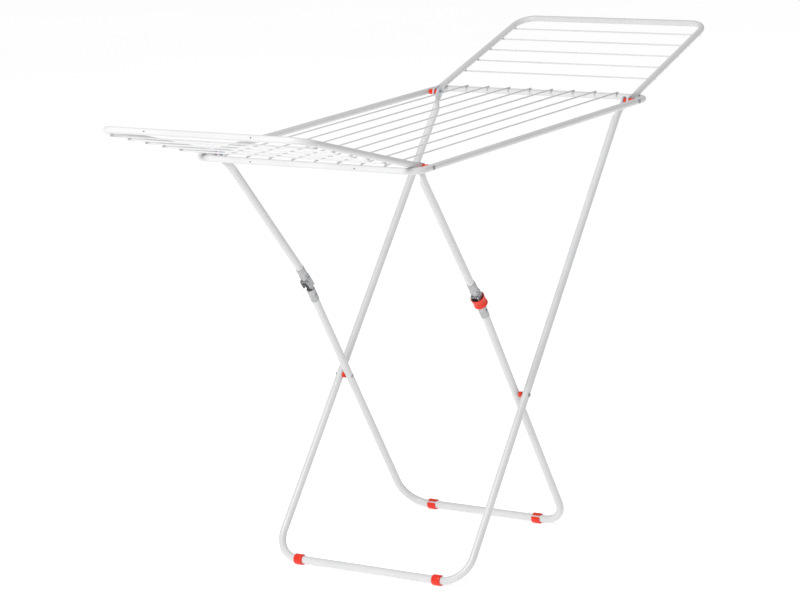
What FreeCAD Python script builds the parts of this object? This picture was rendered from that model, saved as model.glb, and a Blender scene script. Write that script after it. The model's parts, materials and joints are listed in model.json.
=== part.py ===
import FreeCAD, Part
import math
import os

import Sketcher
from FreeCAD import Placement, Rotation, Vector

# A winged clothes airer: a wire-strung main frame on two crossing U-shaped legs, with a hinged wing at
# each end.  Frame: +Z up, +X along the rack, origin on the floor under the middle of the main frame.
# The end at -X is "near", the end at +X is "far", +Y is "left" and -Y is "right".

DOC = FreeCAD.newDocument("Airer")

# ---------------------------------------------------------------- driving dimensions (millimetres)
DRIVING = {
    "frame_length": 940.0,        # cross tube to cross tube, centre lines
    "frame_width": 555.0,         # side tube to side tube, centre lines
    "frame_axis_height": 916.0,   # centre line of the main frame above the floor
    "frame_tube": 14.0,           # outside diameter, main frame
    "frame_bend": 30.0,           # centre-line radius of its corners
    "wing_tube": 14.0,
    "wing_bend": 42.0,
    "wing_depth": 407.0,          # hinge line to the middle of the outer bar
    "wing_hinge_half": 257.0,     # arm centre line from the middle plane, at the hinge
    "wing_tip_half": 250.5,       # the same at the outer bar
    "leg_tube": 17.0,
    "tube_wall": 0.9,
    "leg_bend": 60.0,
    "gentle_bend": 300.0,         # where a narrow leg's tubes turn parallel at the knuckle
    "hinge_span": 840.0,          # near hinge line to far hinge line
    "leg_a_foot": -325.0,         # X of the base bar of the wide leg frame
    "leg_b_foot": 147.0,          # X of the base bar of the narrow, folding leg frame
    "foot_axis_height": 11.0,     # centre line of both base bars above the floor
    "leg_a_foot_half": 245.0,
    "leg_a_top_half": 238.0,
    "leg_b_foot_half": 214.0,
    "leg_b_knuckle_half": 219.0,
    "leg_b_top_half": 242.5,
    "knuckle_bend_x": -183.0,     # where the two centre lines of a folding leg meet
    "knuckle_bend_z": 600.0,
    "knuckle_offset": 9.0,        # knuckle pin beside the centre line, on the folding side
    "knuckle_straight": 45.0,     # length of tube beside the knuckle that stays parallel
    "wire": 3.5,
    "main_wire_pitch": 57.0,
    "wing_wire_first": 130.0,     # first wing wire from the hinge line
    "wing_wire_pitch": 58.5,
    "lug_thickness": 4.0,         # flattened tube ends at the hinges
    "lug_width": 20.0,
    "wing_lug_width": 17.0,
    "neck_from_hinge": 44.0,      # where the round tube starts to flatten
    "flat_from_hinge": 15.0,      # where it is flat
    "rivet": 5.0,
    "rivet_head": 9.0,
    "rivet_head_height": 1.6,
    "spacer": 13.0,
    "pin_clearance": 0.05,
    "running_gap": 0.3,
    "arm_gap": 0.55,              # under a raised arm, which also crosses the rounded frame corner
    "crossing_gap": 1.0,          # between the crossing pins and the narrow leg frame
    "drain_hole": 3.0,
    "drain_half": 130.0,
    "foot_clip_length": 20.0,
    "foot_clip_outside": 23.2,
    "foot_clip_gap": 5.0,         # width of the slot in the open side of a clip
    "foot_clip_gap_rise": 43.0,   # degrees from level up to the slot
    "leg_a_clip_half": 178.0,
    "leg_b_clip_half": 139.0,
    "sheet": 1.0,                 # thickness of the knuckle brackets
    "fork_reach_up": 14.0,        # side plates of the upper bracket, from the bend
    "fork_reach_down": 20.0,
    "ear_round": 3.5,
    "upper_collar_end": 36.0,
    "lower_collar_start": 26.5,
    "lower_collar_end": 58.0,
    "lower_tube_start": 28.3,
    "upper_tube_start": 3.2,
    "bracket_rivet": 4.0,
    "bracket_rivet_head": 7.0,
    "upper_rivet_place": 6.0,
    "lower_rivet_place": 42.0,
    "knuckle_pin": 3.6,
    "knuckle_pin_head": 6.0,
    "fork_cheek": 6.0,            # half width of the fork's side plates beside the tube
    "neck_lip": 3.0,              # how far the tongue's neck wraps past the tube's centre line
    "upper_collar_start": 4.0,             # the fork's collar starts this far above the pin
    "tongue_root": 6.0,           # the tongue's ears end this far below the bend
    "sleeve_outside": 31.0,
    "sleeve_bore": 29.0,
    "sleeve_length": 23.0,
    "sleeve_offset": 2.0,
    "sleeve_drop": 16.0,          # sleeve centre below the bend, along the upper tube
    "stop_pin": 4.0,
    "stop_pin_place": 27.0,       # from the hinge line, towards the end of the rack
    "stop_pin_inner": 251.0,
}
MAIN_WIRES = 8
WING_WIRES = 5

SIZE = dict(DRIVING)


def derive():
    """Work out the rest of the sizes from the driving ones."""
    s = SIZE
    s["hinge_half"] = s["hinge_span"] / 2
    s["frame_half_width"] = s["frame_width"] / 2
    s["frame_radius"] = s["frame_tube"] / 2
    s["wing_radius"] = s["wing_tube"] / 2
    s["leg_radius"] = s["leg_tube"] / 2
    s["wire_radius"] = s["wire"] / 2
    s["hinge_from_cross"] = s["frame_length"] / 2 - s["hinge_half"]
    s["hinge_to_far_cross"] = s["frame_length"] - s["hinge_from_cross"]
    s["pivot_hole_radius"] = s["rivet"] / 2 + s["pin_clearance"]
    s["drain_radius"] = s["drain_hole"] / 2
    for name in ("frame", "wing", "leg"):
        s[name + "_bore"] = s[name + "_radius"] - s["tube_wall"]


derive()
HINGE_Z = SIZE["frame_axis_height"]
NEAR_HINGE = Vector(-SIZE["hinge_half"], 0, HINGE_Z)
FAR_HINGE = Vector(SIZE["hinge_half"], 0, HINGE_Z)
FOOT_A = Vector(SIZE["leg_a_foot"], 0, SIZE["foot_axis_height"])
FOOT_B = Vector(SIZE["leg_b_foot"], 0, SIZE["foot_axis_height"])
BEND = Vector(SIZE["knuckle_bend_x"], 0, SIZE["knuckle_bend_z"])


def toward(start, end):
    return (end - start).normalize()


def meeting_point(p, p_end, q, q_end):
    """Where two lines in the XZ plane cross."""
    a = p_end - p
    b = q_end - q
    share = ((q.x - p.x) * b.z - (q.z - p.z) * b.x) / (a.x * b.z - a.z * b.x)
    return p + a * share


LEG_A_UP = toward(FOOT_A, FAR_HINGE)
LOWER_UP = toward(FOOT_B, BEND)
UPPER_UP = toward(BEND, NEAR_HINGE)
CROSSING = meeting_point(FOOT_A, FAR_HINGE, FOOT_B, BEND)
# A raised arm rests on the cross tube, so the wing's tilt follows from the two tubes and the hinge.
ARM_LIFT = SIZE["frame_radius"] + SIZE["wing_radius"] + SIZE["arm_gap"]
WING_TILT = math.asin(ARM_LIFT / SIZE["hinge_from_cross"])


def ear_side(up):
    """The side of a leg tube that its knuckle pin stands on: below the rack's end, away from the middle."""
    return Vector(-up.z, 0, up.x)


# The pin stands beside the bend, equally far from both tubes, on the line that halves the bend.
HALF_BEND = UPPER_UP.getAngle(LOWER_UP) / 2
EAR_WAY = ear_side(toward(Vector(0, 0, 0), UPPER_UP + LOWER_UP))
KNUCKLE = BEND + EAR_WAY * (SIZE["knuckle_offset"] / math.cos(HALF_BEND))


def tube_sizes(name, length, foot_half, top_half):
    """Sizes of a tube that runs from its bar up to a flattened hinge end."""
    s = SIZE
    slope = (top_half - foot_half) / length
    s[name + "_length"] = length
    s[name + "_neck_y"] = length - s["neck_from_hinge"]
    s[name + "_neck_x"] = foot_half + slope * s[name + "_neck_y"]
    s[name + "_flat_y"] = length - s["flat_from_hinge"]
    s[name + "_lean"] = -math.degrees(math.atan(slope))   # turns a section square to its arm


def knuckle_sizes():
    """Sizes of the folding leg's two halves and of the brackets between them."""
    s = SIZE
    s["lower_length"] = (BEND - FOOT_B).Length
    # Along each tube, its bracket is placed from the foot of the square line to the knuckle pin.
    s["upper_pin_y"] = (KNUCKLE - BEND).dot(UPPER_UP)
    s["lower_pin_y"] = s["lower_length"] + (KNUCKLE - BEND).dot(LOWER_UP)
    s["lower_straight_y"] = s["lower_length"] - s["knuckle_straight"] - s["lower_tube_start"]
    s["lower_end_y"] = s["lower_pin_y"] - s["lower_tube_start"]
    s["upper_length"] = (NEAR_HINGE - BEND).Length
    rise = s["upper_length"] - s["knuckle_straight"]
    slope = (s["leg_b_top_half"] - s["leg_b_knuckle_half"]) / rise
    s["upper_neck_y"] = s["upper_length"] - s["neck_from_hinge"]
    s["upper_neck_x"] = s["leg_b_top_half"] - slope * s["neck_from_hinge"]
    s["upper_flat_y"] = s["upper_length"] - s["flat_from_hinge"]
    s["upper_lean"] = -math.degrees(math.atan(slope))
    s["upper_rivet_y"] = s["upper_pin_y"] + s["upper_rivet_place"]
    s["lower_rivet_y"] = s["lower_pin_y"] - s["lower_rivet_place"]
    s["bracket_hole_radius"] = s["bracket_rivet"] / 2 + s["pin_clearance"]
    s["fork_half"] = s["leg_radius"] + s["sheet"]
    s["tongue_half"] = s["leg_radius"] - s["running_gap"]
    s["tongue_room"] = s["tongue_half"] - s["sheet"]
    s["knuckle_hole"] = s["knuckle_pin"] / 2 + s["pin_clearance"]


def hinge_sizes():
    """Sizes of the four hinges, from the middle plane outwards, and of the stop pins beside them."""
    s = SIZE
    # A leg's hinge end is flattened flush with the outside of its tube, a wing's on its centre line.
    lug_shift = s["leg_radius"] - s["lug_thickness"] / 2
    s["leg_a_lug_x"] = s["leg_a_top_half"] + lug_shift
    s["upper_lug_x"] = s["leg_b_top_half"] + lug_shift
    s["wing_lug_x"] = s["wing_hinge_half"]
    s["wing_lug_outer"] = s["wing_lug_x"] + s["lug_thickness"] / 2
    s["wing_lug_inner"] = s["wing_lug_x"] - s["lug_thickness"] / 2
    for leg in ("leg_a", "leg_b"):
        s[leg + "_lug_outer"] = s[leg + "_top_half"] + s["leg_radius"]
        s[leg + "_lug_inner"] = s[leg + "_lug_outer"] - s["lug_thickness"]
    s["rivet_radius"] = s["rivet"] / 2
    s["spacer_radius"] = s["spacer"] / 2
    s["frame_inner_face"] = s["frame_half_width"] - s["frame_radius"]
    s["frame_outer_face"] = s["frame_half_width"] + s["frame_radius"]
    # The stop pin meets the side tube where its corner has begun to turn.
    s["stop_pin_radius"] = s["stop_pin"] / 2
    s["stop_pin_turn"] = s["stop_pin_place"] + s["stop_pin_radius"] - s["hinge_from_cross"] + s["frame_bend"]
    s["stop_pin_outer"] = s["frame_inner_face"] - s["frame_bend"] + math.sqrt(
        s["frame_bend"] ** 2 - s["stop_pin_turn"] ** 2)
    # The pin clears the widest part of the arm's flattened end by the running gap.
    s["stop_pin_rise"] = (s["stop_pin_place"] * math.sin(WING_TILT) - s["wing_lug_width"] / 2
                          - s["running_gap"] - s["stop_pin_radius"]) / math.cos(WING_TILT)


def wire_sizes():
    """Lengths of the wires, which end flush with the outside of what they are welded to."""
    s = SIZE
    s["main_wire_length"] = s["frame_length"] + s["frame_radius"]
    for number in range(1, WING_WIRES + 1):
        share = (s["wing_wire_first"] + (number - 1) * s["wing_wire_pitch"]) / s["wing_depth"]
        half = s["wing_hinge_half"] + (s["wing_tip_half"] - s["wing_hinge_half"]) * share
        s["wing_wire_%d_length" % number] = 2 * (half + s["wire_radius"])


def crossing_sizes():
    """Where the two leg frames cross, and the room between them for a spacer."""
    s = SIZE
    s["leg_a_crossing_y"] = (CROSSING - FOOT_A).Length
    share = s["leg_a_crossing_y"] / s["leg_a_length"]
    half = s["leg_a_foot_half"] + (s["leg_a_top_half"] - s["leg_a_foot_half"]) * share
    s["leg_a_crossing_inner"] = half - s["leg_radius"]
    s["leg_a_crossing_outer"] = half + s["leg_radius"]
    share = (CROSSING - FOOT_B).Length / s["lower_straight_y"]
    half = s["leg_b_foot_half"] + (s["leg_b_knuckle_half"] - s["leg_b_foot_half"]) * share
    # The crossing pins stay on the wide leg frame and stop just short of the narrow one.
    s["crossing_inner"] = half + s["leg_radius"] + s["crossing_gap"]


tube_sizes("leg_a", (FAR_HINGE - FOOT_A).Length, SIZE["leg_a_foot_half"], SIZE["leg_a_top_half"])
tube_sizes("wing", SIZE["wing_depth"], SIZE["wing_tip_half"], SIZE["wing_hinge_half"])
knuckle_sizes()
hinge_sizes()
wire_sizes()
crossing_sizes()

# ---------------------------------------------------------------- the sheet
SHEET = DOC.addObject("Spreadsheet::Sheet", "Sizes")
for row, (alias, number) in enumerate(SIZE.items(), start=1):
    SHEET.set("A%d" % row, alias)
    SHEET.set("B%d" % row, "%.6f" % number)
    SHEET.setAlias("B%d" % row, alias)
DOC.recompute()


def read(term):
    """The number behind a term: 0, an alias, or an alias with a minus sign."""
    if term == 0:
        return 0.0
    if term.startswith("-"):
        return -SIZE[term[1:]]
    return SIZE[term]


def formula(term):
    """The sheet expression behind the same term."""
    if term.startswith("-"):
        return "-Sizes." + term[1:]
    return "Sizes." + term


def bind(thing, prop, text):
    thing.setExpression(prop, text)


# ---------------------------------------------------------------- sketches
def place_point(sketch, geo, pos, x, y):
    """Hold one point of a sketch at (x, y), each a term of the sheet or 0."""
    if x == 0 and y == 0:
        sketch.addConstraint(Sketcher.Constraint("Coincident", geo, pos, -1, 1))
        return
    for kind, axis, term in (("DistanceX", -2, x), ("DistanceY", -1, y)):
        if term == 0:
            sketch.addConstraint(Sketcher.Constraint("PointOnObject", geo, pos, axis))
            continue
        index = sketch.addConstraint(Sketcher.Constraint(kind, geo, pos, read(term)))
        sketch.setExpression("Constraints[%d]" % index, formula(term))


def new_sketch(body, name, role, shift=(0, 0, 0), lean=0, quarter_turn=False):
    """A sketch on one of the body's own planes, moved by sheet terms and turned about its own Y.

    A quarter turn in its plane starts a circle where an ellipse starts, so a taper does not twist."""
    sketch = body.newObject("Sketcher::SketchObject", name)
    plane = next(f for f in body.Origin.OriginFeatures if f.Role == role)
    sketch.AttachmentSupport = (plane, "")
    sketch.MapMode = "FlatFace"
    turn = Rotation(Vector(0, 1, 0), read(lean))
    if quarter_turn:
        turn = turn * Rotation(Vector(0, 0, 1), -90)
    sketch.AttachmentOffset = Placement(Vector(*[read(term) for term in shift]), turn)
    for letter, term in zip("xyz", shift):
        if term != 0:
            bind(sketch, "AttachmentOffset.Base." + letter, formula(term))
    return sketch


def add_circle(sketch, radius, x=0, y=0):
    geo = sketch.addGeometry(Part.Circle(Vector(read(x), read(y), 0), Vector(0, 0, 1), read(radius)))
    place_point(sketch, geo, 3, x, y)
    index = sketch.addConstraint(Sketcher.Constraint("Radius", geo, read(radius)))
    sketch.setExpression("Constraints[%d]" % index, formula(radius))


def add_route(sketch, corners, bends):
    """A run of straight lines with round bends: corners are pairs of terms, bends are radii."""
    points = [Vector(read(x), read(y), 0) for x, y in corners]
    starts = [points[0]]
    ends = []
    arcs = []
    turns_left = []
    for before, here, after, bend in zip(points, points[1:], points[2:], bends):
        back = (before - here).normalize()
        ahead = (after - here).normalize()
        half = back.getAngle(ahead) / 2
        radius = read(bend)
        leg = radius / math.tan(half)
        centre = here + (back + ahead).normalize() * (radius / math.sin(half))
        middle = centre + (here - centre).normalize() * radius
        ends.append(here + back * leg)
        left = (here - before).cross(after - here).z > 0
        run = [here + back * leg, middle, here + ahead * leg]
        arcs.append(Part.Arc(*(run if left else reversed(run))))
        turns_left.append(left)
        starts.append(here + ahead * leg)
    ends.append(points[-1])
    lines = [sketch.addGeometry(Part.LineSegment(a, b)) for a, b in zip(starts, ends)]
    curves = [sketch.addGeometry(arc) for arc in arcs]
    place_point(sketch, lines[0], 1, *corners[0])
    place_point(sketch, lines[-1], 2, *corners[-1])
    for index, (curve, bend) in enumerate(zip(curves, bends)):
        line, following = lines[index], lines[index + 1]
        mark = sketch.addGeometry(Part.Point(points[index + 1]), True)
        place_point(sketch, mark, 1, *corners[index + 1])
        sketch.addConstraint(Sketcher.Constraint("PointOnObject", mark, 1, line))
        sketch.addConstraint(Sketcher.Constraint("PointOnObject", mark, 1, following))
        first, last = (1, 2) if turns_left[index] else (2, 1)
        sketch.addConstraint(Sketcher.Constraint("Tangent", line, 2, curve, first))
        sketch.addConstraint(Sketcher.Constraint("Tangent", following, 1, curve, last))
        number = sketch.addConstraint(Sketcher.Constraint("Radius", curve, read(bend)))
        sketch.setExpression("Constraints[%d]" % number, formula(bend))
    return len(lines) + len(curves)


# ---------------------------------------------------------------- placing
def leg_frame(origin, up, left=False):
    """Local Y runs up a tube, local X runs to the right of the rack, or to the left when asked."""
    across = Vector(0, 1 if left else -1, 0)
    return Placement(FreeCAD.Matrix(*frame_rows(origin, across, up, across.cross(up))))


def frame_rows(origin, x_axis, y_axis, z_axis):
    return (x_axis.x, y_axis.x, z_axis.x, origin.x,
            x_axis.y, y_axis.y, z_axis.y, origin.y,
            x_axis.z, y_axis.z, z_axis.z, origin.z,
            0, 0, 0, 1)


ALONG_Y = Rotation(Vector(1, 0, 0), -90)   # turns a primitive's Z axis to +Y
ALONG_X = Rotation(Vector(0, 1, 0), 90)    # turns a primitive's Z axis to +X
PARTS = []


def keep(thing, label, placement):
    thing.Label = label
    thing.Placement = placement
    PARTS.append(thing)
    return thing


# ---------------------------------------------------------------- bent tubes
def new_body(label):
    return DOC.addObject("PartDesign::Body", label)


def sweep_tube(body, kind, route, edges, role, shift, lean=0):
    ring = new_sketch(body, body.Name + "_ring", role, shift, lean)
    add_circle(ring, kind + "_radius")
    add_circle(ring, kind + "_bore")
    pipe = body.newObject("PartDesign::AdditivePipe", body.Name + "_pipe")
    pipe.Profile = ring
    pipe.Spine = (route, ["Edge%d" % (i + 1) for i in range(edges)])


def flatten_end(body, name, kind, width, sign=""):
    """Close the tube from its round neck to a flat tongue, and pad the hinge lug on it."""
    tag = body.Name + ("_left" if sign else "_right")
    place = (sign + name + "_neck_x", 0, "-" + name + "_neck_y")
    neck = new_sketch(body, tag + "_neck", "XZ_Plane", place, sign + name + "_lean", quarter_turn=True)
    add_circle(neck, kind + "_radius")
    place = (sign + name + "_lug_x", 0, "-" + name + "_flat_y")
    flat = new_sketch(body, tag + "_flat", "XZ_Plane", place)
    major = Vector(0, SIZE[width] / 2, 0)
    minor = Vector(-SIZE["lug_thickness"] / 2, 0, 0)
    oval = flat.addGeometry(Part.Ellipse(major, minor, Vector(0, 0, 0)))
    flat.addConstraint(Sketcher.Constraint("Block", oval))
    taper = body.newObject("PartDesign::AdditiveLoft", tag + "_taper")
    taper.Profile = neck
    taper.Sections = [flat]
    taper.Refine = False
    outline = new_sketch(body, tag + "_lug_outline", "YZ_Plane", (0, 0, sign + name + "_lug_x"))
    add_tongue(outline, name + "_flat_y", name + "_length", width)
    lug = body.newObject("PartDesign::Pad", tag + "_lug")
    lug.Profile = outline
    lug.SideType = "Symmetric"
    lug.Refine = False
    bind(lug, "Length", "Sizes.lug_thickness")


def add_tongue(sketch, start, hinge, width):
    """A strip from start to the hinge that ends in a half round about the hinge."""
    y0 = read(start) - 2.0
    y1 = read(hinge)
    half = SIZE[width] / 2
    lower = sketch.addGeometry(Part.LineSegment(Vector(y0, -half, 0), Vector(y1, -half, 0)))
    tip = sketch.addGeometry(Part.Arc(Vector(y1, -half, 0), Vector(y1 + half, 0, 0), Vector(y1, half, 0)))
    upper = sketch.addGeometry(Part.LineSegment(Vector(y1, half, 0), Vector(y0, half, 0)))
    back = sketch.addGeometry(Part.LineSegment(Vector(y0, half, 0), Vector(y0, -half, 0)))
    sketch.addConstraint(Sketcher.Constraint("Tangent", lower, 2, tip, 1))
    sketch.addConstraint(Sketcher.Constraint("Tangent", upper, 1, tip, 2))
    sketch.addConstraint(Sketcher.Constraint("Coincident", upper, 2, back, 1))
    sketch.addConstraint(Sketcher.Constraint("Coincident", back, 2, lower, 1))
    sketch.addConstraint(Sketcher.Constraint("Horizontal", lower))
    sketch.addConstraint(Sketcher.Constraint("Vertical", back))
    place_point(sketch, tip, 3, hinge, 0)
    radius = sketch.addConstraint(Sketcher.Constraint("Radius", tip, half))
    sketch.setExpression("Constraints[%d]" % radius, "Sizes.%s / 2" % width)
    strip = sketch.addConstraint(Sketcher.Constraint("DistanceX", lower, 1, lower, 2, y1 - y0))
    sketch.setExpression("Constraints[%d]" % strip, "Sizes.%s - Sizes.%s + 2" % (hinge, start))


def mirror_half(body):
    DOC.recompute()
    mirror = body.newObject("PartDesign::Mirrored", body.Name + "_other_half")
    mirror.TransformMode = "Whole shape"
    mirror.Refine = False
    plane = next(f for f in body.Origin.OriginFeatures if f.Role == "YZ_Plane")
    mirror.MirrorPlane = (plane, [""])
    body.Tip = mirror


def drill_across(body, name, radius, place):
    """A hole along local X, through everything."""
    sketch = new_sketch(body, body.Name + "_" + name, "YZ_Plane")
    add_circle(sketch, radius, place, 0)
    hole = body.newObject("PartDesign::Pocket", body.Name + "_" + name + "_cut")
    hole.Profile = sketch
    hole.SideType = "Symmetric"
    hole.Type = "ThroughAll"


def drill_drains(body, reach):
    """Two drain holes in the outer face of the bar that lies on local X."""
    for side, place in (("right", "drain_half"), ("left", "-drain_half")):
        sketch = new_sketch(body, body.Name + "_drain_" + side, "XZ_Plane")
        add_circle(sketch, "drain_radius", place, 0)
        hole = body.newObject("PartDesign::Pocket", body.Name + "_drain_cut_" + side)
        hole.Profile = sketch
        hole.Reversed = True
        bind(hole, "Length", "Sizes.%s + 1" % reach)


def half_u_tube(label, kind, bends, corners):
    """Half of a tube that is the same on both sides, from the middle of its bar, and its mirror image."""
    body = new_body(label)
    route = new_sketch(body, label + "_route", "XY_Plane")
    edges = add_route(route, corners, bends)
    sweep_tube(body, kind, route, edges, "YZ_Plane", (0, 0, 0))
    mirror_half(body)
    return body


def u_tube(label, name, kind, bend, half, width):
    """A U with flattened hinge ends: from one neck round the bar to the other neck."""
    body = new_body(label)
    route = new_sketch(body, label + "_route", "XY_Plane")
    neck_x, neck_y = name + "_neck_x", name + "_neck_y"
    edges = add_route(route, [("-" + neck_x, neck_y), ("-" + half, 0), (half, 0), (neck_x, neck_y)],
                      [bend, bend])
    sweep_tube(body, kind, route, edges, "XZ_Plane", ("-" + neck_x, 0, "-" + neck_y), "-" + name + "_lean")
    drill_drains(body, kind + "_radius")
    for sign in ("", "-"):
        flatten_end(body, name, kind, width, sign)
    drill_across(body, "hinge", "pivot_hole_radius", name + "_length")
    return body


def make_main_frame():
    body = half_u_tube("main_frame_tube", "frame", ["frame_bend", "frame_bend"], [
        (0, 0), ("frame_half_width", 0), ("frame_half_width", "frame_length"), (0, "frame_length")])
    drill_across(body, "near_hinge", "pivot_hole_radius", "hinge_from_cross")
    drill_across(body, "far_hinge", "pivot_hole_radius", "hinge_to_far_cross")
    drill_drains(body, "frame_radius")
    keep(body, "main_frame_tube",
         leg_frame(Vector(-SIZE["frame_length"] / 2, 0, HINGE_Z), Vector(1, 0, 0)))


def make_wing_tube(label, hinge, outward):
    body = u_tube(label, "wing", "wing", "wing_bend", "wing_tip_half", "wing_lug_width")
    keep(body, label, leg_frame(hinge + outward * SIZE["wing_depth"], outward * -1))


def make_leg_a():
    body = u_tube("leg_a_tube", "leg_a", "leg", "leg_bend", "leg_a_foot_half", "lug_width")
    drill_across(body, "crossing", "pivot_hole_radius", "leg_a_crossing_y")
    keep(body, "leg_a_tube", leg_frame(FOOT_A, LEG_A_UP))


def make_leg_b_lower():
    body = half_u_tube("leg_b_lower_tube", "leg", ["leg_bend", "gentle_bend"], [
        (0, 0), ("leg_b_foot_half", 0), ("leg_b_knuckle_half", "lower_straight_y"),
        ("leg_b_knuckle_half", "lower_end_y")])
    drill_across(body, "rivet", "bracket_hole_radius", "lower_rivet_y")
    drill_drains(body, "leg_radius")
    keep(body, "leg_b_lower_tube", leg_frame(FOOT_B, LOWER_UP))


def make_leg_b_upper(side):
    body = new_body("leg_b_upper_" + side)
    route = new_sketch(body, body.Name + "_route", "XY_Plane")
    edges = add_route(route, [("leg_b_knuckle_half", "upper_tube_start"),
                              ("leg_b_knuckle_half", "knuckle_straight"),
                              ("upper_neck_x", "upper_neck_y")], ["gentle_bend"])
    sweep_tube(body, "leg", route, edges, "XZ_Plane", ("leg_b_knuckle_half", 0, "-upper_tube_start"))
    flatten_end(body, "upper", "leg", "lug_width")
    drill_across(body, "hinge", "pivot_hole_radius", "upper_length")
    drill_across(body, "rivet", "bracket_hole_radius", "upper_rivet_y")
    keep(body, body.Name, leg_frame(BEND, UPPER_UP, left=(side == "left")))


# ---------------------------------------------------------------- turned and cut pieces
def cylinder(name, radius, height, base, turn):
    rod = DOC.addObject("Part::Cylinder", name)
    bind(rod, "Radius", radius)
    bind(rod, "Height", height)
    rod.Placement = Placement(base, turn)
    return rod


def box(name, low, high):
    """A box from corner to corner; each corner is three expressions on the sheet."""
    block = DOC.addObject("Part::Box", name)
    for prop, a, b in zip(("Length", "Width", "Height"), low, high):
        bind(block, prop, "(%s) - (%s)" % (b, a))
    for letter, a in zip("xyz", low):
        bind(block, "Placement.Base." + letter, a)
    return block


def fuse(name, shapes):
    joined = DOC.addObject("Part::MultiFuse", name)
    joined.Shapes = shapes
    return joined


def cut(name, base, tools):
    result = DOC.addObject("Part::Cut", name)
    result.Base = base
    result.Tool = tools[0] if len(tools) == 1 else fuse(name + "_tools", tools)
    return result


def outward_turn(side):
    """Turns a primitive's Z axis away from the middle plane of the rack."""
    return Rotation(Vector(1, 0, 0), -90 if side == "left" else 90)


def side_sign(side):
    return 1 if side == "left" else -1


def across(name, radius, inner, outer, side):
    """A rod along the rack's width, between two distances from the middle plane."""
    base = Vector(0, side_sign(side) * SIZE[inner], 0)
    return cylinder(name, "Sizes." + radius, "Sizes.%s - Sizes.%s" % (outer, inner), base, outward_turn(side))


def make_rivet(label, at, side, inner, outer):
    """A rivet across the rack whose heads bear on the faces at inner and outer."""
    height = SIZE["rivet_head_height"]
    sign = side_sign(side)
    shaft = across(label + "_shaft", "rivet_radius", inner, outer, side)
    heads = []
    for name, start in (("_inner_head", SIZE[inner] - height), ("_outer_head", SIZE[outer])):
        heads.append(cylinder(label + name, "Sizes.rivet_head / 2", "Sizes.rivet_head_height",
                              Vector(0, sign * start, 0), outward_turn(side)))
    keep(fuse(label, [shaft] + heads), label, Placement(at, Rotation()))


def make_headed_stub(label, at, side, inner, outer):
    """A rivet with one head, on the outside."""
    shaft = across(label + "_shaft", "rivet_radius", inner, outer, side)
    head = cylinder(label + "_head", "Sizes.rivet_head / 2", "Sizes.rivet_head_height",
                    Vector(0, side_sign(side) * SIZE[outer], 0), outward_turn(side))
    keep(fuse(label, [shaft, head]), label, Placement(at, Rotation()))


def make_spacer(label, at, side, inner, outer):
    ring = across(label + "_body", "spacer_radius", inner, outer, side)
    hole = across(label + "_hole", "pivot_hole_radius", inner, outer, side)
    keep(cut(label, ring, [hole]), label, Placement(at, Rotation()))


def make_main_wires():
    middle = (MAIN_WIRES + 1) / 2
    for number in range(1, MAIN_WIRES + 1):
        y = (number - middle) * SIZE["main_wire_pitch"]
        z = HINGE_Z + SIZE["frame_radius"] + SIZE["wire_radius"]
        start = Vector(-SIZE["main_wire_length"] / 2, y, z)
        label = "main_wire_%d" % number
        wire = cylinder(label, "Sizes.wire_radius", "Sizes.main_wire_length", start, ALONG_X)
        keep(wire, label, wire.Placement)


def make_wing_wires(end, hinge, outward, below):
    for number in range(1, WING_WIRES + 1):
        distance = SIZE["wing_wire_first"] + (number - 1) * SIZE["wing_wire_pitch"]
        length = "wing_wire_%d_length" % number
        at = hinge + outward * distance + below * (SIZE["wing_radius"] + SIZE["wire_radius"])
        label = "wing_%s_wire_%d" % (end, number)
        start = at - Vector(0, SIZE[length] / 2, 0)
        wire = cylinder(label, "Sizes.wire_radius", "Sizes." + length, start, ALONG_Y)
        keep(wire, label, wire.Placement)


def make_stop_pin(end, side):
    """A pin on the inside of a side tube, just under the raised arm of a wing."""
    sign = 1 if end == "far" else -1
    label = "stop_pin_%s_%s" % (end, side)
    pin = across(label, "stop_pin_radius", "stop_pin_inner", "stop_pin_outer", side)
    place = Vector(sign * (SIZE["hinge_half"] + SIZE["stop_pin_place"]), 0, HINGE_Z + SIZE["stop_pin_rise"])
    keep(pin, label, Placement(place + pin.Placement.Base, pin.Placement.Rotation))


def make_corner(end, side, hinge, leg_outer, leg_inner):
    make_spacer("spacer_outer_%s_%s" % (end, side), hinge, side, "wing_lug_outer", "frame_inner_face")
    make_spacer("spacer_inner_%s_%s" % (end, side), hinge, side, leg_outer, "wing_lug_inner")
    make_rivet("hinge_rivet_%s_%s" % (end, side), hinge, side, leg_inner, "frame_outer_face")
    make_stop_pin(end, side)


def make_crossing(side):
    make_spacer("crossing_spacer_" + side, CROSSING, side, "crossing_inner", "leg_a_crossing_inner")
    make_headed_stub("crossing_rivet_" + side, CROSSING, side, "crossing_inner", "leg_a_crossing_outer")


def make_foot_clip(label, foot, half, side, opening):
    """A plastic clip on a base bar, flat where it stands on the floor, open upwards to the middle."""
    start = Vector(0, -SIZE["foot_clip_length"] / 2, 0)
    outside = "Sizes.foot_clip_outside / 2"
    shell = cylinder(label + "_shell", outside, "Sizes.foot_clip_length", start, ALONG_Y)
    bore = cylinder(label + "_bore", "Sizes.leg_radius", "Sizes.foot_clip_length", start, ALONG_Y)
    reach = "Sizes.foot_clip_outside"
    ends = ("0", reach) if opening > 0 else ("-" + reach, "0")
    gap = "Sizes.foot_clip_gap / 2"
    slot = box(label + "_slot", (ends[0], "-" + reach, "-" + gap), (ends[1], reach, gap))
    sole = box(label + "_sole", ("-" + reach, "-" + reach, "-" + reach),
               (reach, reach, "-Sizes.foot_axis_height"))
    ring = cut(label + "_ring", shell, [bore, slot])
    rise = Rotation(Vector(0, 1, 0), -opening * SIZE["foot_clip_gap_rise"])
    ring.Placement = Placement(Vector(0, 0, 0), rise)
    clip = cut(label, ring, [sole])
    keep(clip, label, Placement(foot + Vector(0, side_sign(side) * SIZE[half], 0), Rotation()))


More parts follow.
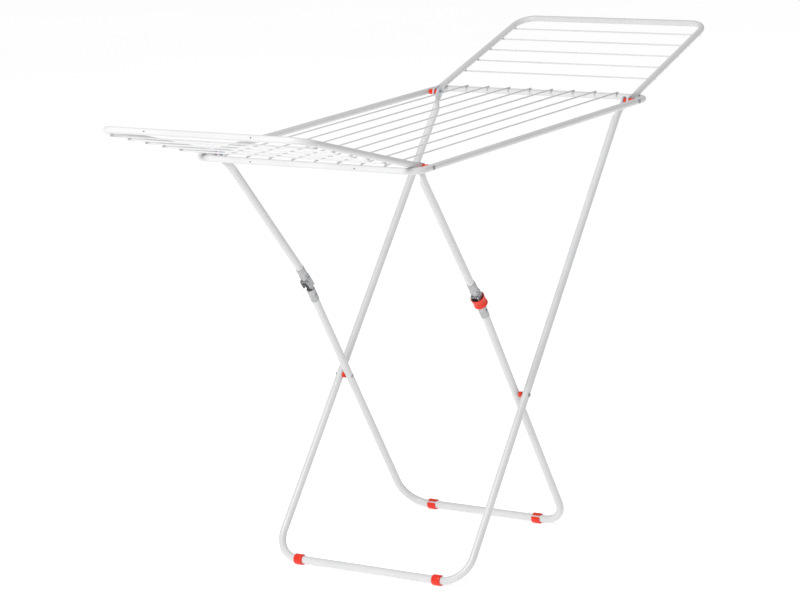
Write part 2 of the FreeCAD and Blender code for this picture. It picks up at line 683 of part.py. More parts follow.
# ---------------------------------------------------------------- the knuckles of the folding leg
def along(name, radius, start, end, z="0"):
    """A cylinder along local Y from start to end."""
    rod = DOC.addObject("Part::Cylinder", name)
    bind(rod, "Radius", radius)
    bind(rod, "Height", "(%s) - (%s)" % (end, start))
    rod.Placement = Placement(Vector(0, 0, 0), ALONG_Y)
    bind(rod, "Placement.Base.y", start)
    bind(rod, "Placement.Base.z", z)
    return rod


def crosswise(name, radius, half, y, z):
    """A cylinder along local X, reaching half to each side."""
    rod = DOC.addObject("Part::Cylinder", name)
    bind(rod, "Radius", radius)
    bind(rod, "Height", "2 * (%s)" % half)
    rod.Placement = Placement(Vector(0, 0, 0), ALONG_X)
    bind(rod, "Placement.Base.x", "-(%s)" % half)
    bind(rod, "Placement.Base.y", y)
    bind(rod, "Placement.Base.z", z)
    return rod


def knuckle_frame(up, side):
    """A bracket's frame: on its tube's centre line, square across from the knuckle pin."""
    foot = KNUCKLE - ear_side(up) * SIZE["knuckle_offset"]
    return leg_frame(foot + Vector(0, side_sign(side) * SIZE["leg_b_knuckle_half"], 0), up)


def make_upper_bracket(side):
    """A collar on the upper tube whose side plates run past the bend and carry the pin in an ear."""
    label = "knuckle_fork_" + side
    out = "Sizes.fork_half"
    bore = "Sizes.leg_radius"
    top, tip, up = "Sizes.upper_collar_end", "-Sizes.fork_reach_down", "Sizes.fork_reach_up"
    ear_z, ear = "Sizes.knuckle_offset", "Sizes.ear_round"
    cheek = "Sizes.fork_cheek"
    solid = fuse(label + "_solid", [
        along(label + "_collar", out, "Sizes.upper_collar_start", top),
        box(label + "_plates", ("-" + out, tip, "-" + cheek), (out, up, cheek)),
        box(label + "_ear", ("-" + out, tip + " + " + ear, "0"), (out, "0", ear_z + " + " + ear)),
        box(label + "_ear_edge", ("-" + out, tip, "0"), (out, ear, ear_z)),
        crosswise(label + "_ear_top", ear, out, "0", ear_z),
        crosswise(label + "_ear_tip", ear, out, tip + " + " + ear, ear_z),
    ])
    far = "4 * Sizes.leg_tube"
    tools = [
        along(label + "_tube_room", bore, "0", far),
        box(label + "_room", ("-" + bore, "-" + far, "-" + far), (bore, "Sizes.upper_collar_start", far)),
        crosswise(label + "_pin_hole", "Sizes.knuckle_hole", far, "0", ear_z),
        crosswise(label + "_rivet_hole", "Sizes.bracket_hole_radius", far, "Sizes.upper_rivet_place", "0"),
    ]
    keep(cut(label, solid, tools), label, knuckle_frame(UPPER_UP, side))


def make_lower_bracket(side):
    """A collar on the lower tube, stepped in at the knuckle so that its ears turn inside the fork."""
    label = "knuckle_tongue_" + side
    out, inner = "Sizes.fork_half", "Sizes.tongue_half"
    room = "Sizes.tongue_room"
    collar_foot, collar_top = "-Sizes.lower_collar_end", "-Sizes.lower_collar_start"
    step = "-Sizes.lower_tube_start"
    ear_z, ear = "Sizes.knuckle_offset", "Sizes.ear_round"
    root = "-Sizes.tongue_root"
    solid = fuse(label + "_solid", [
        along(label + "_collar", out, collar_foot, collar_top),
        along(label + "_neck", inner, step, "-Sizes.sheet"),
        box(label + "_ear", ("-" + inner, root, "0"), (inner, "0", ear_z)),
        crosswise(label + "_ear_top", ear, inner, "0", ear_z),
    ])
    far = "4 * Sizes.leg_tube"
    tools = [
        along(label + "_tube_room", "Sizes.leg_radius", "-" + far, step),
        along(label + "_neck_room", room, step + " - Sizes.sheet", far),
        box(label + "_room", ("-" + room, collar_top, "0"), (room, far, far)),
        box(label + "_lips", ("-" + far, collar_top, "Sizes.neck_lip"), (far, root, far)),
        crosswise(label + "_pin_hole", "Sizes.knuckle_hole", far, "0", ear_z),
        crosswise(label + "_rivet_hole", "Sizes.bracket_hole_radius", far, "-Sizes.lower_rivet_place", "0"),
    ]
    keep(cut(label, solid, tools), label, knuckle_frame(LOWER_UP, side))


def make_knuckle_rivet(label, up, side, radius, head, y, z):
    """A rivet through both side plates of a bracket, in the bracket's own frame."""
    half = "Sizes.fork_half"
    shaft = crosswise(label + "_shaft", radius, half, y, z)
    heads = crosswise(label + "_heads", head, half + " + Sizes.sheet", y, z)
    far = "4 * Sizes.leg_tube"
    gap = box(label + "_gap", ("-" + half, "-" + far, "-" + far), (half, far, far))
    keep(fuse(label, [shaft, cut(label + "_caps", heads, [gap])]), label, knuckle_frame(up, side))


def make_lock_sleeve():
    """A plastic ring over the right knuckle that keeps it straight until it is pushed up the tube."""
    label = "lock_sleeve"
    half = "Sizes.sleeve_length / 2"
    low, high = "-Sizes.sleeve_drop - " + half, "-Sizes.sleeve_drop + " + half
    shell = along(label + "_shell", "Sizes.sleeve_outside / 2", low, high, "Sizes.sleeve_offset")
    bore = along(label + "_bore", "Sizes.sleeve_bore / 2", low, high, "Sizes.sleeve_offset")
    keep(cut(label, shell, [bore]), label, knuckle_frame(UPPER_UP, "right"))


def make_knuckle(side):
    make_upper_bracket(side)
    make_lower_bracket(side)
    rivet, head = "Sizes.bracket_rivet / 2", "Sizes.bracket_rivet_head / 2"
    make_knuckle_rivet("fork_rivet_" + side, UPPER_UP, side, rivet, head, "Sizes.upper_rivet_place", "0")
    make_knuckle_rivet("tongue_rivet_" + side, LOWER_UP, side, rivet, head, "-Sizes.lower_rivet_place", "0")
    make_knuckle_rivet("knuckle_pin_" + side, UPPER_UP, side, "Sizes.knuckle_pin / 2",
                       "Sizes.knuckle_pin_head / 2", "0", "Sizes.knuckle_offset")


# ---------------------------------------------------------------- the whole rack
def check_document():
    for thing in DOC.Objects:
        if "Invalid" in thing.State or "Error" in thing.State:
            raise RuntimeError("%s failed: %s" % (thing.Name, thing.getStatusString()))
    for part in PARTS:
        if part.Shape.isNull() or not part.Shape.isValid() or len(part.Shape.Solids) != 1:
            raise RuntimeError("%s is not one sound solid" % part.Label)


def main():
    rise = Vector(0, 0, math.sin(WING_TILT))
    run = Vector(math.cos(WING_TILT), 0, 0)
    drop = Vector(0, 0, -math.cos(WING_TILT))
    lean = Vector(math.sin(WING_TILT), 0, 0)
    make_main_frame()
    make_main_wires()
    make_wing_tube("wing_near_tube", NEAR_HINGE, rise - run)
    make_wing_tube("wing_far_tube", FAR_HINGE, rise + run)
    make_wing_wires("near", NEAR_HINGE, rise - run, drop - lean)
    make_wing_wires("far", FAR_HINGE, rise + run, drop + lean)
    make_leg_a()
    make_leg_b_lower()
    for side in ("left", "right"):
        make_leg_b_upper(side)
        make_corner("near", side, NEAR_HINGE, "leg_b_lug_outer", "leg_b_lug_inner")
        make_corner("far", side, FAR_HINGE, "leg_a_lug_outer", "leg_a_lug_inner")
        make_crossing(side)
        make_knuckle(side)
        make_foot_clip("foot_clip_a_" + side, FOOT_A, "leg_a_clip_half", side, 1)
        make_foot_clip("foot_clip_b_" + side, FOOT_B, "leg_b_clip_half", side, -1)
    make_lock_sleeve()
    DOC.recompute()
    check_document()
    os.makedirs("parts", exist_ok=True)
    for part in PARTS:
        part.Shape.exportStep("parts/%s.step" % part.Label)
    print("%d sub-parts written" % len(PARTS))


main()
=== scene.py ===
import json
import math
import random

import bmesh
import bpy
from mathutils import Matrix, Vector


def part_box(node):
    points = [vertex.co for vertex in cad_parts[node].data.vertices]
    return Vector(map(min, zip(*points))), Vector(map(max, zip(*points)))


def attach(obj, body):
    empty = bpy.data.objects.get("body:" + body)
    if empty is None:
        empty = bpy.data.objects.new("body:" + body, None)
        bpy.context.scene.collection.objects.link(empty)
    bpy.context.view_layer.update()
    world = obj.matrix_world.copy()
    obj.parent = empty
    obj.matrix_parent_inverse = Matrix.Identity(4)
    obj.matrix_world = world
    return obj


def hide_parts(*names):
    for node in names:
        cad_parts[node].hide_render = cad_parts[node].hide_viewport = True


# A winged clothes airer in white powder-coated steel with orange-red plastic spacers, clips and lock
# sleeve.  The bent tubes and the knuckle brackets are the CAD's own; wires, welds, rivets, spacers,
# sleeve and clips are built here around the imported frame.  Metres throughout.

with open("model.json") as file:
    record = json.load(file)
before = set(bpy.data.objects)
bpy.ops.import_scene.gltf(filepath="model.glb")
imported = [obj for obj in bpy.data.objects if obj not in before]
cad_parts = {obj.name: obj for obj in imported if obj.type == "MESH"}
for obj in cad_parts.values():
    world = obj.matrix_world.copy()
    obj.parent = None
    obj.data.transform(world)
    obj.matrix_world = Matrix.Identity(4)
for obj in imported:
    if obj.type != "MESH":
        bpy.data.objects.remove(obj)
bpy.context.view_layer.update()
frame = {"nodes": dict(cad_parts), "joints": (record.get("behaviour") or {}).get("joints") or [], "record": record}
JOINTS = {joint["name"]: joint for joint in frame["joints"]}
NEAR_HINGE = Vector(JOINTS["leg_b_fold"]["pos_m"])
FAR_HINGE = Vector(JOINTS["leg_a_fold"]["pos_m"])
UPPER_UP = Vector(JOINTS["sleeve_slide"]["axis"]).normalized()
SIDES = ("left", "right")
random.seed(7)


# ---------------------------------------------------------------- materials
class Shader:
    """A new material and short ways to add and join its nodes."""

    def __init__(self, name):
        self.material = bpy.data.materials.new(name)
        self.material.use_nodes = True
        self.tree = self.material.node_tree
        self.surface = self.tree.nodes["Principled BSDF"]
        self.place = self.add("ShaderNodeTexCoord").outputs["Object"]

    def add(self, kind, **settings):
        node = self.tree.nodes.new(kind)
        for key, value in settings.items():
            setattr(node, key, value)
        return node

    def link(self, source, target):
        self.tree.links.new(source, target)

    def set(self, **values):
        for key, value in values.items():
            self.surface.inputs[key.replace("_", " ")].default_value = value

    def noise(self, scale, detail=2.0, roughness=0.5, stretch=None):
        node = self.add("ShaderNodeTexNoise")
        node.inputs["Scale"].default_value = scale
        node.inputs["Detail"].default_value = detail
        node.inputs["Roughness"].default_value = roughness
        source = self.place
        if stretch:
            mapping = self.add("ShaderNodeMapping")
            mapping.inputs["Scale"].default_value = stretch
            self.link(source, mapping.inputs["Vector"])
            source = mapping.outputs["Vector"]
        self.link(source, node.inputs["Vector"])
        return node.outputs["Fac"]

    def ramp(self, factor, low, high, start=0.3, end=0.7):
        node = self.add("ShaderNodeValToRGB")
        first, last = node.color_ramp.elements
        first.position, last.position = start, end
        first.color, last.color = (*low, 1.0), (*high, 1.0)
        self.link(factor, node.inputs["Fac"])
        return node.outputs["Color"]

    def between(self, factor, low, high, start=0.3, end=0.7):
        node = self.add("ShaderNodeMapRange")
        for key, value in (("From Min", start), ("From Max", end), ("To Min", low), ("To Max", high)):
            node.inputs[key].default_value = value
        self.link(factor, node.inputs["Value"])
        return node.outputs["Result"]

    def mix(self, factor, first, second):
        node = self.add("ShaderNodeMix", data_type="RGBA")
        self.link(factor, node.inputs["Factor"])
        self.link(first, node.inputs[6])
        self.link(second, node.inputs[7])
        return node.outputs[2]

    def near(self, points, reach, fade):
        """1 beside any of the points, in the XZ plane, falling to 0 over the fade."""
        split = self.add("ShaderNodeSeparateXYZ")
        self.link(self.place, split.inputs["Vector"])
        closest = None
        for point in points:
            flat = self.add("ShaderNodeCombineXYZ")
            flat.inputs["Y"].default_value = 0.0
            self.link(split.outputs["X"], flat.inputs["X"])
            self.link(split.outputs["Z"], flat.inputs["Z"])
            distance = self.add("ShaderNodeVectorMath", operation="DISTANCE")
            distance.inputs[1].default_value = (point.x, 0.0, point.z)
            self.link(flat.outputs["Vector"], distance.inputs[0])
            if closest is None:
                closest = distance.outputs["Value"]
                continue
            least = self.add("ShaderNodeMath", operation="MINIMUM")
            self.link(closest, least.inputs[0])
            self.link(distance.outputs["Value"], least.inputs[1])
            closest = least.outputs["Value"]
        return self.between(closest, 1.0, 0.0, reach, reach + fade)

    def bump(self, height, strength, distance, after=None):
        node = self.add("ShaderNodeBump")
        node.inputs["Strength"].default_value = strength
        node.inputs["Distance"].default_value = distance
        self.link(height, node.inputs["Height"])
        if after is not None:
            self.link(after, node.inputs["Normal"])
        return node.outputs["Normal"]

    def finish(self, color, roughness, normal=None):
        self.link(color, self.surface.inputs["Base Color"])
        self.link(roughness, self.surface.inputs["Roughness"])
        if normal is not None:
            self.link(normal, self.surface.inputs["Normal"])
        return self.material


def powder_coat(name, worn_at=(), peel_scale=700.0):
    """Gloss white powder coat with orange peel, thin and greyed where a joint has rubbed it."""
    s = Shader(name)
    cloud = s.noise(9.0, 3.0)
    peel = s.noise(peel_scale, 2.0)
    color = s.ramp(cloud, (0.575, 0.578, 0.583), (0.615, 0.617, 0.621))
    if worn_at:
        rubbed = s.add("ShaderNodeMath", operation="MULTIPLY")
        s.link(s.near(worn_at, 0.009, 0.016), rubbed.inputs[0])
        s.link(s.between(s.noise(160.0, 4.0), 0.25, 1.0, 0.35, 0.60), rubbed.inputs[1])
        steel = s.ramp(s.noise(2600.0, 1.0), (0.36, 0.40, 0.46), (0.52, 0.56, 0.62))
        color = s.mix(rubbed.outputs["Value"], color, steel)
    roughness = s.between(cloud, 0.26, 0.36)
    normal = s.bump(peel, 0.10, 0.0004)
    s.set(Coat_Weight=0.15, Coat_Roughness=0.15, Specular_IOR_Level=0.4)
    return s.finish(color, roughness, normal)


def moulded_plastic(name):
    """Satin orange-red moulding: fine spark texture and faint flow marks."""
    s = Shader(name)
    flow = s.noise(60.0, 3.0, stretch=(1.0, 0.3, 1.0))
    grain = s.noise(2400.0, 2.0)
    color = s.ramp(flow, (0.64, 0.017, 0.002), (0.74, 0.027, 0.004))
    roughness = s.between(grain, 0.26, 0.38)
    normal = s.bump(grain, 0.12, 0.0002)
    s.set(Specular_IOR_Level=0.38)
    return s.finish(color, roughness, normal)


def zinc_sheet(name):
    """Zinc-plated pressed sheet: cloudy passivation, fine rolling lines and a few scuffs."""
    s = Shader(name)
    cloud = s.noise(240.0, 4.0, 0.6)
    lines = s.noise(900.0, 2.0, stretch=(1.0, 1.0, 0.06))
    scuffs = s.noise(1500.0, 5.0, 0.7, stretch=(0.25, 1.0, 1.0))
    color = s.ramp(cloud, (0.34, 0.345, 0.35), (0.50, 0.505, 0.51))
    roughness = s.between(lines, 0.38, 0.58)
    normal = s.bump(scuffs, 0.20, 0.0002, s.bump(lines, 0.15, 0.0002))
    s.set(Metallic=0.75, Anisotropic=0.3)
    return s.finish(color, roughness, normal)


def plated_rivet(name):
    """Plated rivet steel with turning marks, duller and darker than the sheet."""
    s = Shader(name)
    cloud = s.noise(500.0, 3.0)
    rings = s.noise(3200.0, 2.0, stretch=(1.0, 0.15, 1.0))
    color = s.ramp(cloud, (0.20, 0.21, 0.23), (0.38, 0.39, 0.42))
    roughness = s.between(rings, 0.28, 0.44)
    normal = s.bump(rings, 0.15, 0.0002)
    s.set(Metallic=1.0)
    return s.finish(color, roughness, normal)


FRAME_COAT = powder_coat("frame_powder_coat")
LUG_COAT = powder_coat("hinged_tube_powder_coat", worn_at=(NEAR_HINGE, FAR_HINGE))
WIRE_COAT = powder_coat("wire_powder_coat", peel_scale=1100.0)
PLASTIC = moulded_plastic("orange_plastic")
ZINC = zinc_sheet("zinc_plated_sheet")
RIVET = plated_rivet("plated_rivet")
FINISH = {"tube": LUG_COAT, "wire": WIRE_COAT, "plastic": PLASTIC, "bracket": ZINC, "rivet": RIVET}


# ---------------------------------------------------------------- mesh helpers
def add_piece(name, mesh, body, slot, replaced=(), sharp=40.0):
    """Turn a bmesh into a smooth-shaded piece that rides on a body."""
    bmesh.ops.recalc_face_normals(mesh, faces=mesh.faces)
    data = bpy.data.meshes.new(name)
    mesh.to_mesh(data)
    mesh.free()
    data.shade_smooth()
    data.set_sharp_from_angle(angle=math.radians(sharp))
    data.materials.append(FINISH[slot])
    piece = bpy.data.objects.new(name, data)
    bpy.context.scene.collection.objects.link(piece)
    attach(piece, body)
    if replaced:
        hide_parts(*replaced)
    return piece


def across_axis(axis):
    """Two directions square to an axis."""
    axis = axis.normalized()
    first = axis.orthogonal().normalized()
    return first, axis.cross(first)


def lathe(mesh, profile, origin, axis, segments=32, closed=False):
    """Turn a profile of (radius, height) points about an axis; a closed profile makes a ring."""
    axis = axis.normalized()
    first, second = across_axis(axis)
    rows = []
    for radius, height in profile:
        centre = origin + axis * height
        if radius == 0.0:
            rows.append([mesh.verts.new(centre)])
            continue
        row = []
        for index in range(segments):
            angle = 2 * math.pi * index / segments
            row.append(mesh.verts.new(centre + (first * math.cos(angle) + second * math.sin(angle)) * radius))
        rows.append(row)
    pairs = list(zip(rows, rows[1:]))
    if closed:
        pairs.append((rows[-1], rows[0]))
    for low, high in pairs:
        for index in range(segments):
            following = (index + 1) % segments
            if len(low) == 1:
                mesh.faces.new((low[0], high[following], high[index]))
            elif len(high) == 1:
                mesh.faces.new((low[index], low[following], high[0]))
            else:
                mesh.faces.new((low[index], low[following], high[following], high[index]))


def round_corner(radius, height, size, turn, steps=4):
    """Points of a quarter round whose sharp corner is at (radius, height); turn is its first angle."""
    centre_r = radius - size * (1 if turn in (-90, 0) else -1)
    centre_h = height + size * (1 if turn in (-90, 180) else -1)
    points = []
    for step in range(steps + 1):
        angle = math.radians(turn + 90.0 * step / steps)
        points.append((centre_r + size * math.cos(angle), centre_h + size * math.sin(angle)))
    return points


HEAD_RIM = 0.28                   # share of a rivet head's height that is its straight rim
DOME_STEPS = 6


def domed_head(radius, height, base, sign):
    """A rivet head's profile from its rim up to its crown, above a bearing face at base."""
    rim = HEAD_RIM * height
    points = [(radius * 0.96, base), (radius, base + sign * rim * 0.5), (radius, base + sign * rim)]
    for step in range(1, DOME_STEPS):
        angle = math.radians(90.0 * step / DOME_STEPS)
        points.append((radius * math.cos(angle), base + sign * (rim + (height - rim) * math.sin(angle))))
    points.append((0.0, base + sign * height))
    return points


# ---------------------------------------------------------------- wires and their welds
def round_bar(mesh, start, end, radius, segments=16):
    """A straight wire with cropped, slightly rounded ends."""
    length = (end - start).length
    edge = radius * 0.35
    profile = [(0.0, 0.0), (radius - edge, 0.0), (radius - edge * 0.3, edge * 0.3), (radius, edge)]
    profile += [(radius, length - edge), (radius - edge * 0.3, length - edge * 0.3),
                (radius - edge, length), (0.0, length)]
    lathe(mesh, profile, start, end - start, segments)


WELD_LENGTH = 0.0042              # half lengths of a bead, along its wire
WELD_WIDTH = 1.55                 # the other half sizes and its place, in wire radii
WELD_HEIGHT = 0.62
WELD_DROP = 0.72
MAIN_WELD_INSET = 0.0035          # from the wire's end to the bead's middle
WING_WELD_INSET = 0.0045


def weld_bead(mesh, centre, along, up, size):
    """A low oval blob where a wire is spot-welded to a tube, under the same coat."""
    side = along.cross(up)
    turn = Matrix((along, side, up)).transposed().to_4x4()
    turn.translation = centre
    blob = bmesh.ops.create_icosphere(mesh, subdivisions=3, radius=1.0)
    spread = Matrix.Diagonal((size[0], size[1], size[2], 1.0))
    bmesh.ops.transform(mesh, matrix=turn @ spread, verts=blob["verts"])


def wire_ends(node):
    """The centre-line ends and radius of a straight wire node."""
    low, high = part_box(node)
    size = high - low
    middle = (low + high) / 2
    axis = max(range(3), key=lambda index: size[index])
    radius = min(size) / 2
    step = Vector((0, 0, 0))
    step[axis] = size[axis] / 2
    return middle - step, middle + step, radius


def make_wires(body, nodes):
    for node in nodes:
        start, end, radius = wire_ends(node)
        bar = bmesh.new()
        round_bar(bar, start, end, radius)
        add_piece(node + "_drawn", bar, body, "wire", (node,), sharp=50.0)


def make_welds(body, nodes, toward_tube, inset):
    """One mesh holds the weld blobs at both ends of every wire of a body."""
    beads = bmesh.new()
    for node in nodes:
        start, end, radius = wire_ends(node)
        along = (end - start).normalized()
        for point, way in ((start, along), (end, -along)):
            grow = random.uniform(0.92, 1.08)
            centre = point + way * inset + toward_tube * (radius * WELD_DROP)
            size = (WELD_LENGTH * grow, radius * WELD_WIDTH * grow, radius * WELD_HEIGHT)
            weld_bead(beads, centre, along, toward_tube, size)
    add_piece(body + "_welds", beads, body, "wire", sharp=80.0)


# ---------------------------------------------------------------- turned pieces
HINGE_RIVET = {"head": 0.0045, "shank": 0.0025, "head_height": 0.0016}
BRACKET_RIVET = {"head": 0.0035, "shank": 0.0020, "head_height": 0.0010}
KNUCKLE_PIN = {"head": 0.0030, "shank": 0.0018, "head_height": 0.0010}
SPACER_HOLE = 0.0026              # radius
CAP_DEPTH = 0.0173                # from the crossing rivet's inner end to the foot of the cap behind the tube


def y_extent(node):
    """Where a turned piece lies: a point of its axis, the way out, and its inner and outer ends."""
    low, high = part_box(node)
    middle = (low + high) / 2
    sign = 1 if middle.y > 0 else -1
    inner, outer = sorted((abs(low.y), abs(high.y)))
    return Vector((middle.x, 0.0, middle.z)), Vector((0, sign, 0)), inner, outer


def make_spacer(node, body):
    """A moulded spacer: a short barrel with rounded rims and a shallow waist."""
    origin, outward, inner, outer = y_extent(node)
    low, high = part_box(node)
    radius = (high.x - low.x) / 2
    middle = (inner + outer) / 2
    waist = radius - 0.0004
    shoulder = 0.3 * (outer - inner)
    edge = 0.0006
    profile = round_corner(radius, inner, edge, -90)
    profile += [(waist, inner + shoulder), (waist, middle), (waist, outer - shoulder)]
    profile += round_corner(radius, outer, edge, 0)
    profile += [(SPACER_HOLE, outer), (SPACER_HOLE, inner)]
    ring = bmesh.new()
    lathe(ring, profile, origin, outward, closed=True)
    add_piece(node + "_moulded", ring, body, "plastic", (node,), sharp=60.0)


def make_cross_rivet(node, body, head, shank, head_height, inner_head=True):
    """A rivet along the rack's width: a domed head outside and, where it has one, inside."""
    origin, outward, inner, outer = y_extent(node)
    base_out = outer - head_height
    start = [(0.0, inner), (shank, inner)]
    if inner_head:
        base_in = inner + head_height
        start = list(reversed(domed_head(head, head_height, base_in, -1))) + [(shank, base_in)]
    profile = start + [(shank, base_out)] + domed_head(head, head_height, base_out, 1)
    rivet = bmesh.new()
    lathe(rivet, profile, origin, outward, 28)
    add_piece(node + "_turned", rivet, body, "rivet", (node,), sharp=45.0)


def make_stop_pin(node, body):
    """A plain pin with a rounded inner tip."""
    origin, outward, inner, outer = y_extent(node)
    low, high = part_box(node)
    radius = (high.x - low.x) / 2
    profile = [(0.0, inner), (radius * 0.55, inner + 0.0001), (radius * 0.86, inner + 0.0005),
               (radius, inner + 0.0012), (radius, outer), (0.0, outer)]
    pin = bmesh.new()
    lathe(pin, profile, origin, outward, 24)
    add_piece(node + "_turned", pin, body, "rivet", (node,), sharp=50.0)


def make_crossing_cap(side):
    """The low rivet head on the inside of the narrow leg frame at the crossing."""
    origin, outward, inner, _ = y_extent("crossing_rivet_" + side)
    face = inner - CAP_DEPTH
    radius, height, seat, back = 0.0043, 0.0014, 0.0004, 0.0008
    profile = [(0.0, face + back), (0.0040, face + back)]
    profile += domed_head(radius, height, face + seat, -1)
    cap = bmesh.new()
    lathe(cap, profile, origin, outward, 28)
    add_piece("crossing_cap_" + side, cap, "leg_b_lower", "rivet", sharp=45.0)


def make_lock_sleeve():
    """The sliding lock ring: a thin moulded tube with a thicker rim at each end."""
    low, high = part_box("lock_sleeve")
    centre = (low + high) / 2
    outer = (high.y - low.y) / 2
    wall = 0.0011
    # The box of a leaning cylinder: its height gives the length once the round ends are taken off.
    lean = abs(UPPER_UP.x)
    length = ((high.z - low.z) - 2 * outer * lean) / abs(UPPER_UP.z)
    half = length / 2
    rim = 0.0022
    dip = 0.0005
    edge = 0.0004
    flare, mouth = 0.0002, 0.0003
    profile = round_corner(outer, -half, edge, -90)
    profile += [(outer, -half + rim), (outer - dip, -half + rim + dip), (outer - dip, half - rim - dip),
                (outer, half - rim)]
    profile += round_corner(outer, half, edge, 0)
    bore = outer - wall
    profile += [(bore + flare, half), (bore, half - mouth), (bore, -half + mouth), (bore + flare, -half)]
    ring = bmesh.new()
    lathe(ring, profile, centre, UPPER_UP, 56, closed=True)
    add_piece("lock_sleeve_moulded", ring, "lock_sleeve", "plastic", ("lock_sleeve",), sharp=50.0)


# ---------------------------------------------------------------- foot clips
CLIP_RISE = math.radians(43.0)    # from level up to the middle of a clip's gap
CLIP_GAP_HALF = 0.0025
CLIP_LIP_EASE = 0.02              # radians that each lip stands back from the gap
CLIP_STEPS = 72
CLIP_EDGE = 0.0006
CLIP_EDGE_STEPS = 3
BASE_BAR_RADIUS = 0.0085
BASE_BAR_HEIGHT = 0.011           # centre line above the floor


def clip_outline(outer, inner, half_gap, sole):
    """Matching outer and inner points of a C, from lip to lip, flat at the sole."""
    start = CLIP_RISE + half_gap
    span = 2 * math.pi - 2 * half_gap
    pairs = []
    for step in range(CLIP_STEPS + 1):
        angle = start + span * step / CLIP_STEPS
        x, z = math.cos(angle), math.sin(angle)
        pairs.append(((outer * x, max(outer * z, -sole)), (inner * x, inner * z)))
    return pairs


def make_foot_clip(node, body, opening):
    """A snap clip round a base bar: rounded rims, one gap, flat under the bar."""
    low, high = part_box(node)
    half = (high.y - low.y) / 2
    outer = high.z - BASE_BAR_HEIGHT
    middle = (low.x + outer) if opening > 0 else (high.x - outer)
    centre = Vector((middle, (low.y + high.y) / 2, BASE_BAR_HEIGHT))
    lip = math.asin(CLIP_GAP_HALF / outer) + CLIP_LIP_EASE
    rings = []
    stations = []
    for step in range(CLIP_EDGE_STEPS + 1):
        angle = math.radians(90.0 * step / CLIP_EDGE_STEPS)
        stations.append((half - CLIP_EDGE * (1 - math.sin(angle)), CLIP_EDGE * (1 - math.cos(angle))))
    stations = [(-y, inset) for y, inset in reversed(stations)] + stations
    clip = bmesh.new()
    for y, inset in stations:
        bore = BASE_BAR_RADIUS + inset * 0.2
        pairs = clip_outline(outer - inset, bore, lip + inset / outer, BASE_BAR_HEIGHT - inset)
        row_out = [clip.verts.new(centre + Vector((opening * x, y, z))) for (x, z), _ in pairs]
        row_in = [clip.verts.new(centre + Vector((opening * x, y, z))) for _, (x, z) in pairs]
        rings.append(row_out + list(reversed(row_in)))
    count = len(rings[0])
    for first, second in zip(rings, rings[1:]):
        for index in range(count):
            following = (index + 1) % count
            clip.faces.new((first[index], first[following], second[following], second[index]))
    for ring in (rings[0], rings[-1]):
        for index in range(count // 2 - 1):
            clip.faces.new((ring[index], ring[index + 1], ring[count - 2 - index], ring[count - 1 - index]))
    add_piece(node + "_moulded", clip, body, "plastic", (node,), sharp=45.0)


# ---------------------------------------------------------------- build
BODIES = frame["record"]["behaviour"]["bodies"]
for part in frame["record"]["subparts"]:
    materials = frame["nodes"][part["node"]].data.materials
    materials.clear()
    materials.append(FRAME_COAT if part["node"] == "main_frame_tube" else FINISH[part["material_slot"]])

MAIN_WIRES = [node for node in BODIES["main_frame"] if "wire" in node]
make_wires("main_frame", MAIN_WIRES)
make_welds("main_frame", MAIN_WIRES, Vector((0, 0, -1)), MAIN_WELD_INSET)
for end, hinge in (("near", NEAR_HINGE), ("far", FAR_HINGE)):
    body = "wing_" + end
    wires = [node for node in BODIES[body] if "wire" in node]
    make_wires(body, wires)
    run = wire_ends(wires[-1])[0] - wire_ends(wires[0])[0]
    slope = Vector((run.x, 0.0, run.z)).normalized()
    toward_arm = Vector((-slope.z, 0.0, slope.x)) * (1 if slope.x > 0 else -1)
    make_welds(body, wires, toward_arm, WING_WELD_INSET)
    for side in SIDES:
        tag = "_%s_%s" % (end, side)
        make_spacer("spacer_outer" + tag, "main_frame")
        make_spacer("spacer_inner" + tag, "main_frame")
        make_cross_rivet("hinge_rivet" + tag, "main_frame", **HINGE_RIVET)
        make_stop_pin("stop_pin" + tag, "main_frame")
for side in SIDES:
    make_spacer("crossing_spacer_" + side, "leg_a")
    make_cross_rivet("crossing_rivet_" + side, "leg_a", **HINGE_RIVET, inner_head=False)
    make_crossing_cap(side)
    make_cross_rivet("fork_rivet_" + side, "leg_b_upper", **BRACKET_RIVET)
    make_cross_rivet("tongue_rivet_" + side, "leg_b_lower", **BRACKET_RIVET)
    make_cross_rivet("knuckle_pin_" + side, "leg_b_upper", **KNUCKLE_PIN)
    make_foot_clip("foot_clip_a_" + side, "leg_a", 1)
    make_foot_clip("foot_clip_b_" + side, "leg_b_lower", -1)
make_lock_sleeve()


# ---------------------------------------------------------------- studio
FLOOR_HALF = 60.0
FLOOR_GLOW = 0.40
WORLD_STRENGTH = 0.60
KEY_PLACE = (-3.6, 0.4, 3.8)
KEY_TARGET = (0.0, 0.0, 0.6)
KEY_SIZE = 2.4
KEY_POWER = 150.0


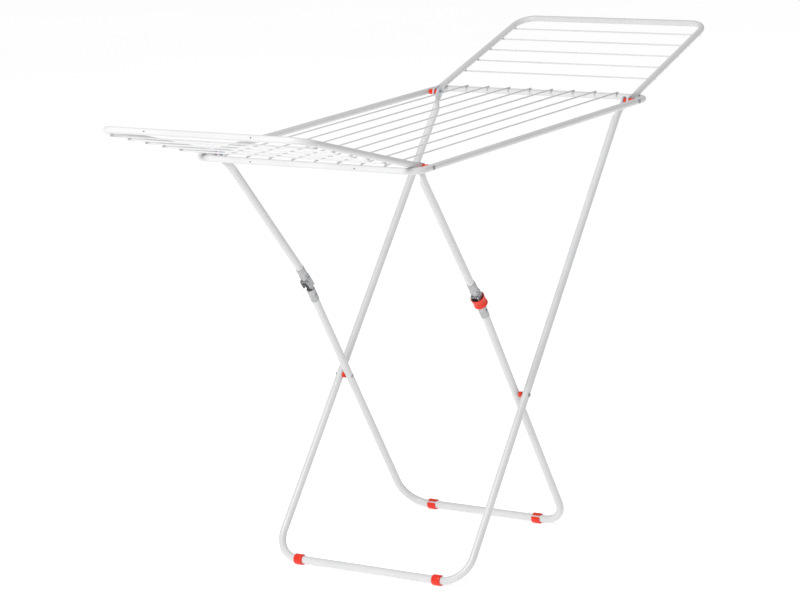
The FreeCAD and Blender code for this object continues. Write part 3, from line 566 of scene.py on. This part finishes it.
def make_floor():
    mesh = bmesh.new()
    bmesh.ops.create_grid(mesh, x_segments=1, y_segments=1, size=FLOOR_HALF)
    data = bpy.data.meshes.new("studio_floor")
    mesh.to_mesh(data)
    mesh.free()
    floor = bpy.data.objects.new("studio_floor", data)
    bpy.context.scene.collection.objects.link(floor)
    s = Shader("pale_floor")
    cloud = s.noise(0.8, 2.0)
    color = s.ramp(cloud, (0.93, 0.93, 0.935), (0.95, 0.95, 0.952))
    s.set(Emission_Color=(1.0, 1.0, 1.0, 1.0), Emission_Strength=FLOOR_GLOW)
    data.materials.append(s.finish(color, s.between(cloud, 0.75, 0.85)))


def make_world(strength):
    world = bpy.data.worlds.new("studio")
    world.use_nodes = True
    background = world.node_tree.nodes["Background"]
    background.inputs["Color"].default_value = (1.0, 1.0, 1.0, 1.0)
    background.inputs["Strength"].default_value = strength
    bpy.context.scene.world = world


def add_area(name, place, target, size, power):
    light = bpy.data.lights.new(name, "AREA")
    light.shape = "DISK"
    light.size = size
    light.energy = power
    lamp = bpy.data.objects.new(name, light)
    lamp.location = place
    lamp.rotation_euler = (Vector(target) - Vector(place)).to_track_quat("-Z", "Y").to_euler()
    bpy.context.scene.collection.objects.link(lamp)


def add_camera():
    """The viewpoint: off the near right corner, about a metre above the wires."""
    camera = bpy.data.cameras.new("camera")
    camera.sensor_width = 36.0
    camera.lens = 138.04
    camera.clip_end = 100.0
    eye = bpy.data.objects.new("camera", camera)
    place = Vector((-5.457, -3.614, 1.996))
    aim = Vector((-0.1319, 0.0109, 0.5595))
    roll = math.radians(-3.098)
    turn = (aim - place).to_track_quat("-Z", "Y").to_matrix() @ Matrix.Rotation(roll, 3, "Z")
    eye.matrix_world = Matrix.Translation(place) @ turn.to_4x4()
    bpy.context.scene.collection.objects.link(eye)
    bpy.context.scene.camera = eye


make_floor()
make_world(WORLD_STRENGTH)
add_area("key_light", KEY_PLACE, KEY_TARGET, KEY_SIZE, KEY_POWER)
add_camera()
bpy.context.scene.view_settings.view_transform = "Standard"
